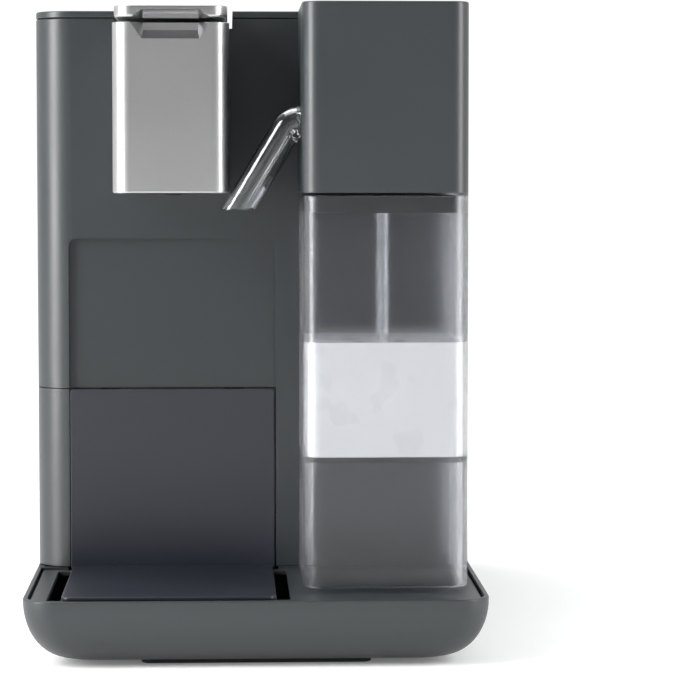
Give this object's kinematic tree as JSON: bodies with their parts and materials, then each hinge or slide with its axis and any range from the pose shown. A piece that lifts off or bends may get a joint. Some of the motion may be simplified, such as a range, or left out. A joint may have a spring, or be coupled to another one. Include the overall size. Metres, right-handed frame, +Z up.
{
  "type": "pod coffee machine",
  "caption": "Countertop pod coffee machine with a lever brew head, a lifting cup stand, a drip drawer, a milk tank with swinging spout, and a rear water tank.",
  "frame": {"origin": "centre of the footprint, on the table", "axes": "+X to the machine's right seen from the front, +Y towards its back, +Z up"},
  "size_m": [0.213, 0.38, 0.3035],
  "materials": {
    "anthracite": "satin anthracite paint",
    "base_plastic": "fine moulded grain",
    "silver": "fine satin silver",
    "stand_plastic": "satin slate",
    "black_plastic": "matt",
    "rubber": "matt",
    "smoke": "frosted smoke plastic",
    "clear": "polished clear plastic",
    "white_plastic": "matt",
    "cast_metal": "as cast",
    "steel": "bright",
    "board_green": "solder mask",
    "silicone": "silicone"
  },
  "bodies": {
    "chassis": {"base_shell": "base_plastic", "foot_mid_left": "rubber", "foot_mid_right": "rubber", "foot_rear_left": "rubber", "foot_rear_right": "rubber", "housing": "anthracite", "top_cover": "anthracite", "rear_panel": "black_plastic", "rear_screw_1": "steel", "rear_screw_2": "steel", "rear_screw_3": "steel", "rear_screw_4": "steel", "mains_inlet": "black_plastic", "switch_frame": "black_plastic", "brew_head": "silver", "coffee_outlet": "black_plastic", "outlet_pipe": "silicone", "lever_pin": "steel", "brew_chamber": "white_plastic", "pod_chute": "black_plastic", "milk_head": "anthracite", "milk_head_floor": "black_plastic", "froth_chamber": "white_plastic", "milk_pump": "cast_metal", "tank_socket": "black_plastic", "button_board": "board_green", "control_board": "board_green", "water_pump": "cast_metal", "pump_mount_front": "rubber", "pump_mount_rear": "rubber", "heater_block": "cast_metal", "hose_tank_pump": "silicone", "hose_pump_heater": "silicone", "hose_heater_brew": "silicone", "steam_hose": "silicone"},
    "drip_drawer": {"tray_shell": "base_plastic", "tray_plate": "base_plastic", "foot_front": "rubber", "drawer_frame": "black_plastic", "pod_bin": "black_plastic", "drawer_front": "anthracite"},
    "cup_stand": {"cup_stand": "stand_plastic"},
    "milk_tank": {"milk_tank": "smoke", "milk_tank_lid": "black_plastic", "milk_intake_tube": "clear"},
    "milk_spout": {"milk_spout": "clear"},
    "brew_lever": {"brew_lever": "silver"},
    "piercing_plate": {"piercing_plate": "steel"},
    "water_tank": {"water_tank": "smoke", "tank_valve": "white_plastic", "tank_lid_pin": "steel"},
    "water_tank_lid": {"water_tank_lid": "black_plastic"},
    "button_short": {"button_short": "black_plastic"},
    "button_long": {"button_long": "black_plastic"},
    "button_milk": {"button_milk": "black_plastic"},
    "button_rinse": {"button_rinse": "black_plastic"},
    "power_switch": {"power_switch": "black_plastic"}
  },
  "joints": [
    {"name": "drip_drawer_slide", "type": "slide", "parent": "chassis", "child": "drip_drawer", "axis": [0, -1, 0], "range_m": [0, 0.13]},
    {"name": "cup_stand_lift", "type": "slide", "parent": "drip_drawer", "child": "cup_stand", "axis": [0, 0, 1], "range_m": [0, 0.066]},
    {"name": "milk_tank_slide", "type": "slide", "parent": "chassis", "child": "milk_tank", "axis": [0, -1, 0], "range_m": [0, 0.11]},
    {"name": "milk_spout_swing", "type": "hinge", "parent": "chassis", "child": "milk_spout", "pos_m": [0.021, -0.14, 0.25], "axis": [-1, 0, 0], "range_deg": [0, 100]},
    {"name": "brew_lever_hinge", "type": "hinge", "parent": "chassis", "child": "brew_lever", "pos_m": [-0.039, 0.06, 0.2979], "axis": [-1, 0, 0], "range_deg": [0, 75]},
    {"name": "piercing_plate_slide", "type": "slide", "parent": "chassis", "child": "piercing_plate", "axis": [0, 1, 0], "range_m": [0, 0.008]},
    {"name": "water_tank_lift", "type": "slide", "parent": "chassis", "child": "water_tank", "axis": [0, 0, 1], "range_m": [0, 0.28]},
    {"name": "water_tank_lid_hinge", "type": "hinge", "parent": "water_tank", "child": "water_tank_lid", "pos_m": [-0.03, 0.1195, 0.3015], "axis": [1, 0, 0], "range_deg": [0, 95]},
    {"name": "button_short_press", "type": "slide", "parent": "chassis", "child": "button_short", "axis": [0, 0, -1], "range_m": [0, 0.0015], "stiffness_N_per_m": 800, "springref_m": -0.0008},
    {"name": "button_long_press", "type": "slide", "parent": "chassis", "child": "button_long", "axis": [0, 0, -1], "range_m": [0, 0.0015], "stiffness_N_per_m": 800, "springref_m": -0.0008},
    {"name": "button_milk_press", "type": "slide", "parent": "chassis", "child": "button_milk", "axis": [0, 0, -1], "range_m": [0, 0.0015], "stiffness_N_per_m": 800, "springref_m": -0.0008},
    {"name": "button_rinse_press", "type": "slide", "parent": "chassis", "child": "button_rinse", "axis": [0, 0, -1], "range_m": [0, 0.0015], "stiffness_N_per_m": 800, "springref_m": -0.0008},
    {"name": "power_switch_rock", "type": "hinge", "parent": "chassis", "child": "power_switch", "pos_m": [0.075, 0.185, 0.13], "axis": [1, 0, 0], "range_deg": [-8, 8]}
  ],
  "couplings": [
    {"joint": "piercing_plate_slide", "follows": "brew_lever_hinge", "m_per_rad": 0.006105}
  ]
}
